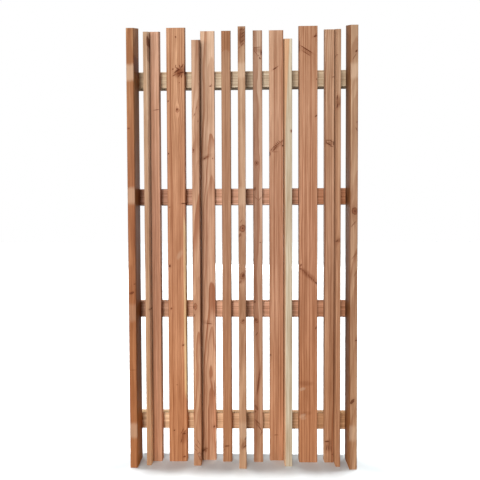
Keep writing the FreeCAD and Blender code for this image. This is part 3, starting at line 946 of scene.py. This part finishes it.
def addScrewGroup(rail, kind):
    look = screwLook
    name = rail + "_" + kind + "_screws"
    low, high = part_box(rail)
    mesh = bmesh.new()
    for slat in boards:
        if boards[slat].get("along") == "X" or slat.endswith("thin_slat") != (kind == "short"):
            continue
        left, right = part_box(slat)
        width = right.x - left.x
        pair = slat.endswith("wide_slat") or slat.endswith("thin_slat")
        for shift in ((-look["pairSpread"], look["pairSpread"]) if pair else (0.0,)):
            at = Vector(((left.x + right.x) / 2 + shift * width, high.y, (low.z + high.z) / 2))
            addScrew(mesh, at, look["turn"] * at.x + at.z, look[kind + "Length"])
    bmesh.ops.recalc_face_normals(mesh, faces=mesh.faces)
    data = bpy.data.meshes.new(name + "_turned")
    mesh.to_mesh(data)
    mesh.free()
    data.polygons.foreach_set("use_smooth", [True] * len(data.polygons))
    data.set_sharp_from_angle(angle=math.radians(look["smoothBelow"]))
    piece = bpy.data.objects.new(name + "_turned", data)
    bpy.context.scene.collection.objects.link(piece)
    dress(piece, steel)
    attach(piece, "root")
    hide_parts(name)


steel = screwMaterial()
for rail in ("bottom_rail", "lower_middle_rail", "upper_middle_rail", "top_rail"):
    for kind in ("long", "short"):
        addScrewGroup(rail, kind)
print("screws turned")


# floor: seen it is bright, but it throws little light back at the boards
floorLook = {
    "size": 60.0,
    "seen": (0.80, 0.85, 0.87, 1.0),
    "bounce": (0.06, 0.058, 0.056, 1.0),
}


def seenRay(t):  # rays that show the setting itself: straight, mirrored or through glass
    light = t.nodes.new("ShaderNodeLightPath")
    seen = calc(t, "MAXIMUM", light.outputs["Is Camera Ray"], light.outputs["Is Glossy Ray"])
    return calc(t, "MAXIMUM", seen, light.outputs["Is Transmission Ray"])


def makeFloor():
    bpy.ops.mesh.primitive_plane_add(size=floorLook["size"], location=(0.0, 0.0, cadBox[0][2]))
    floor = bpy.context.object
    floor.name = "studio_floor"
    material = bpy.data.materials.new("studio_floor")
    material.use_nodes = True
    t = material.node_tree
    t.nodes.clear()
    diffuse = t.nodes.new("ShaderNodeBsdfDiffuse")
    tone = mixColour(t, seenRay(t), floorLook["bounce"], floorLook["seen"])
    t.links.new(tone, diffuse.inputs["Color"])
    output = t.nodes.new("ShaderNodeOutputMaterial")
    t.links.new(diffuse.outputs[0], output.inputs["Surface"])
    dress(floor, material)


makeFloor()

# light: a key from the front left, fills, lamps behind, and overhead lamps for the shadow at the feet
lamps = {
    "key": {"at": (-2.4, -10.2, 2.3), "size": 4.0, "power": 900.0},
    "leftFill": {"at": (-4.2, -4.0, 1.1), "size": 1.8, "power": 108.0},
    "rightFill": {"at": (4.2, -4.2, 1.1), "size": 2.2, "power": 44.0},
    "rearLeft": {"at": (-4.5, 4.5, 7.0), "size": 2.0, "power": 160.0},
    "rearRight": {"at": (4.5, 4.5, 7.0), "size": 2.0, "power": 160.0},
    "rearFill": {"at": (0.0, 9.0, 1.5), "size": 3.0, "power": 320.0},
}
overhead = {"height": 4.0, "strength": 3.9, "angle": 4.0, "tilts": (-14.0, -5.0, 5.0, 14.0), "lean": 2.3}
surround = {"seen": 1.0, "level": 0.10}
lampAim = Vector((0.0, 0.0, 0.9))


def addLamp(name, kind, at, rotation, energy):
    lamp = bpy.data.lights.new(name, kind)
    lamp.energy = energy
    holder = bpy.data.objects.new(name, lamp)
    holder.location = at
    holder.rotation_euler = rotation
    bpy.context.scene.collection.objects.link(holder)
    return lamp


for name, look in lamps.items():
    facing = (lampAim - Vector(look["at"])).to_track_quat("-Z", "Y").to_euler()
    addLamp(name, "AREA", look["at"], facing, look["power"]).size = look["size"]
for number, tilt in enumerate(overhead["tilts"]):
    rotation = (math.radians(-overhead["lean"]), math.radians(tilt), 0.0)
    share = overhead["strength"] / len(overhead["tilts"])
    lamp = addLamp("overhead" + str(number), "SUN", (0.0, 0.0, overhead["height"]), rotation, share)
    lamp.angle = math.radians(overhead["angle"])

world = bpy.data.worlds.new("studio")
bpy.context.scene.world = world
world.use_nodes = True
t = world.node_tree
backdrop = t.nodes["Background"]
strength = ease(t, seenRay(t), 0.0, 1.0, surround["level"], surround["seen"])
t.links.new(strength, backdrop.inputs["Strength"])
backdrop.inputs["Color"].default_value = (1.0, 1.0, 1.0, 1.0)
print("studio lit")

# camera, found from the edges of the slats in the 480 x 480 photograph
cameraLook = {
    "at": (0.0196, -1.527, 0.9577),
    "aim": (-0.0101, 0.0225, 0.9216),
    "roll": -0.22,
    "focalPixels": 370.8,
    "framePixels": 480.0,
    "sensorWidth": 36.0,
}
camera = bpy.data.objects.new("camera", bpy.data.cameras.new("camera"))
camera.data.sensor_width = cameraLook["sensorWidth"]
camera.data.lens = cameraLook["focalPixels"] * cameraLook["sensorWidth"] / cameraLook["framePixels"]
camera.location = cameraLook["at"]
turn = (Vector(cameraLook["aim"]) - Vector(cameraLook["at"])).to_track_quat("-Z", "Y")
camera.rotation_euler = (turn @ Quaternion((0.0, 0.0, 1.0), math.radians(cameraLook["roll"]))).to_euler()
bpy.context.scene.collection.objects.link(camera)
bpy.context.scene.camera = camera
bpy.context.scene.view_settings.view_transform = "Standard"
print("camera set")
